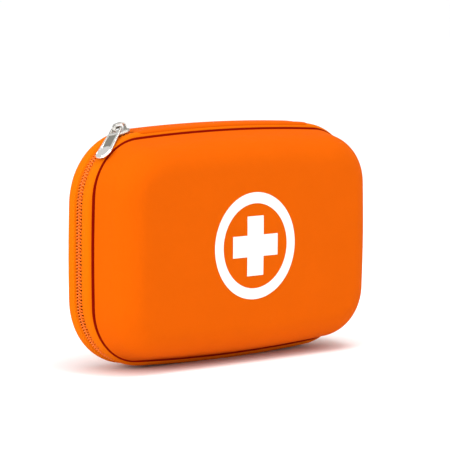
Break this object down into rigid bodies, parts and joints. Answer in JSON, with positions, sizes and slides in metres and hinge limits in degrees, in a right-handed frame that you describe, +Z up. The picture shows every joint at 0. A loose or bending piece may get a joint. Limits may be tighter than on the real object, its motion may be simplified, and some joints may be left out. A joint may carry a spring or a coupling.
{
  "type": "first aid kit case",
  "caption": "Zipped clamshell first aid case of moulded fabric-covered foam, with a badge on the front and dressings, scissors and tweezers strapped inside.",
  "frame": {"origin": "middle of the case on the plane its rims stand on", "axes": "+X along the width to the right as seen from the badge side, -Y out of the badge face, +Z up to the fabric hinge"},
  "size_m": [0.21, 0.055, 0.1429],
  "materials": {
    "shell_fabric": "fine twill over moulded foam",
    "lining_fabric": "dark knitted lining",
    "zip_tape": "woven polyester",
    "zip_coil": "nylon monofilament",
    "binding_tape": "ribbed tape",
    "badge_print": "smooth transfer film",
    "slider_metal": "nickel-plated die casting",
    "gauze": "open weave cotton",
    "support_bandage": "crinkled stretch bandage",
    "adhesive_tape": "zinc oxide tape",
    "spool_plastic": "moulded",
    "elastic": "ribbed elastic",
    "foil_film": "clear bag over folded foil",
    "sterile_wrap": "heat-sealed wrap",
    "steel": "ground stainless",
    "handle_plastic": "moulded",
    "pocket_mesh": "hexagonal netting",
    "plaster_wrap": "paper sachets",
    "wipe_foil": "foil sachets",
    "glove_film": "folded nitrile in a bag"
  },
  "bodies": {
    "case": {"rear_shell": "shell_fabric", "rear_lining": "lining_fabric", "rear_tape": "zip_tape", "rear_coil": "zip_coil", "rear_binding": "binding_tape", "rear_hinge_lining": "lining_fabric", "rear_hinge_strip": "shell_fabric", "rear_end_stop": "slider_metal", "gauze_roll_left": "gauze", "gauze_roll_middle": "gauze", "support_roll": "support_bandage", "tape_roll": "adhesive_tape", "tape_spool": "spool_plastic", "roll_strap": "elastic", "foil_blanket_pack": "foil_film", "triangular_bandage_pack": "sterile_wrap", "pack_strap": "elastic", "tweezers": "steel", "tweezer_strap": "elastic", "scissor_blade_fixed": "steel", "scissor_handle_fixed": "handle_plastic", "scissor_rivet": "steel", "scissor_strap": "elastic"},
    "lid": {"front_shell": "shell_fabric", "front_lining": "lining_fabric", "front_tape": "zip_tape", "front_coil": "zip_coil", "front_binding": "binding_tape", "front_hinge_lining": "lining_fabric", "front_hinge_strip": "shell_fabric", "front_end_stop": "slider_metal", "badge_ring": "badge_print", "badge_cross": "badge_print", "pocket_net": "pocket_mesh", "pocket_edge": "elastic", "plaster_pack": "plaster_wrap", "wipe_pack": "wipe_foil", "glove_pack": "glove_film"},
    "slider": {"slider_body": "slider_metal", "slider_crown": "slider_metal"},
    "pull": {"pull_tab": "slider_metal"},
    "scissor_half": {"scissor_blade_moving": "steel", "scissor_handle_moving": "handle_plastic"}
  },
  "joints": [
    {"name": "lid_hinge", "type": "hinge", "parent": "case", "child": "lid", "pos_m": [0, 0.00745, 0.1404], "axis": [-1, 0, 0], "range_deg": [0, 175]},
    {"name": "slider_travel", "type": "hinge", "parent": "lid", "child": "slider", "pos_m": [-0.06311, 0.00745, 0.09562], "axis": [0, -1, 0], "range_deg": [0, 48]},
    {"name": "pull_swing", "type": "hinge", "parent": "slider", "child": "pull", "pos_m": [-0.07574, 0.00745, 0.13966], "axis": [0, 1, 0], "range_deg": [0, 60]},
    {"name": "scissor_pivot", "type": "hinge", "parent": "case", "child": "scissor_half", "pos_m": [-0.034, 0.02085, 0.097], "axis": [0, -1, 0], "range_deg": [0, 10]}
  ]
}
